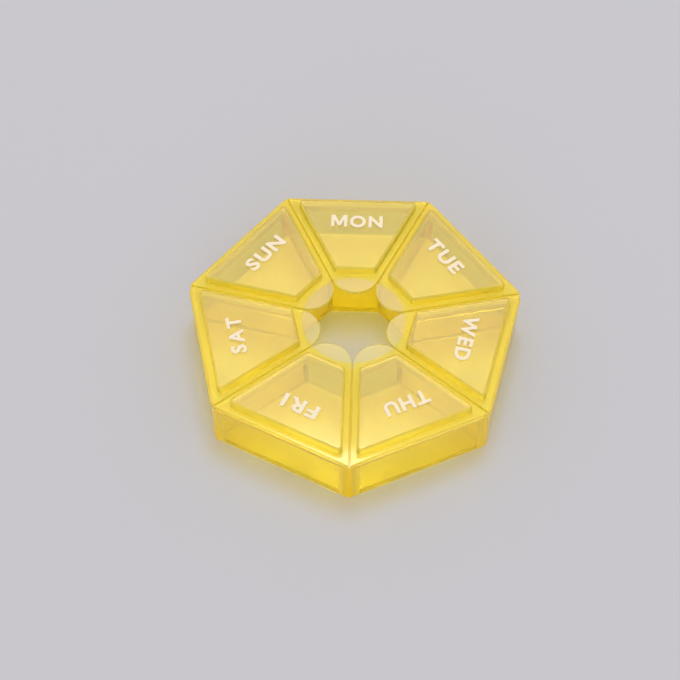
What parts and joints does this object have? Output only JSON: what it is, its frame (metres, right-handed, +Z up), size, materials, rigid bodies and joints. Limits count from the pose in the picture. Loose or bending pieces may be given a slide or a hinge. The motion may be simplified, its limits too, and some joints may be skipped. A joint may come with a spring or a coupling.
{
  "type": "weekly pill box",
  "caption": "Low ring of wedge compartments round a finger hole, each under its own flip lid on a film hinge, in translucent plastic.",
  "frame": {"origin": "on the ring's axis, in the plane of the flat base", "axes": "+Z up along the ring's axis, +Y to the middle of the first day's outer wall, a corner at -Y"},
  "size_m": [0.0996, 0.0972, 0.0202],
  "materials": {
    "tray_plastic": "translucent yellow polypropylene, satin gloss",
    "lid_plastic": "translucent yellow polypropylene, satin gloss, thinner wall",
    "hinge_film": "thin translucent yellow web",
    "lettering": "cream raised lettering on the lids"
  },
  "bodies": {
    "tray": {"tray": "tray_plastic", "hinge_monday": "hinge_film", "hinge_tuesday": "hinge_film", "hinge_wednesday": "hinge_film", "hinge_thursday": "hinge_film", "hinge_friday": "hinge_film", "hinge_saturday": "hinge_film", "hinge_sunday": "hinge_film"},
    "lid_monday": {"lid_monday": "lid_plastic"},
    "lid_tuesday": {"lid_tuesday": "lid_plastic"},
    "lid_wednesday": {"lid_wednesday": "lid_plastic"},
    "lid_thursday": {"lid_thursday": "lid_plastic"},
    "lid_friday": {"lid_friday": "lid_plastic"},
    "lid_saturday": {"lid_saturday": "lid_plastic"},
    "lid_sunday": {"lid_sunday": "lid_plastic"}
  },
  "joints": [
    {"name": "monday_lid_swing", "type": "hinge", "parent": "tray", "child": "lid_monday", "pos_m": [0, 0.04605, 0.01655], "axis": [-1, 0, 0], "range_deg": [0, 180], "deforming": ["hinge_monday"]},
    {"name": "tuesday_lid_swing", "type": "hinge", "parent": "tray", "child": "lid_tuesday", "pos_m": [0.036, 0.02871, 0.01655], "axis": [-0.6235, 0.7818, 0], "range_deg": [0, 180], "deforming": ["hinge_tuesday"]},
    {"name": "wednesday_lid_swing", "type": "hinge", "parent": "tray", "child": "lid_wednesday", "pos_m": [0.04489, -0.01025, 0.01655], "axis": [0.2225, 0.9749, 0], "range_deg": [0, 180], "deforming": ["hinge_wednesday"]},
    {"name": "thursday_lid_swing", "type": "hinge", "parent": "tray", "child": "lid_thursday", "pos_m": [0.01998, -0.04149, 0.01655], "axis": [0.901, 0.4339, 0], "range_deg": [0, 180], "deforming": ["hinge_thursday"]},
    {"name": "friday_lid_swing", "type": "hinge", "parent": "tray", "child": "lid_friday", "pos_m": [-0.01998, -0.04149, 0.01655], "axis": [0.901, -0.4339, 0], "range_deg": [0, 180], "deforming": ["hinge_friday"]},
    {"name": "saturday_lid_swing", "type": "hinge", "parent": "tray", "child": "lid_saturday", "pos_m": [-0.04489, -0.01025, 0.01655], "axis": [0.2225, -0.9749, 0], "range_deg": [0, 180], "deforming": ["hinge_saturday"]},
    {"name": "sunday_lid_swing", "type": "hinge", "parent": "tray", "child": "lid_sunday", "pos_m": [-0.036, 0.02871, 0.01655], "axis": [-0.6235, -0.7818, 0], "range_deg": [0, 180], "deforming": ["hinge_sunday"]}
  ]
}
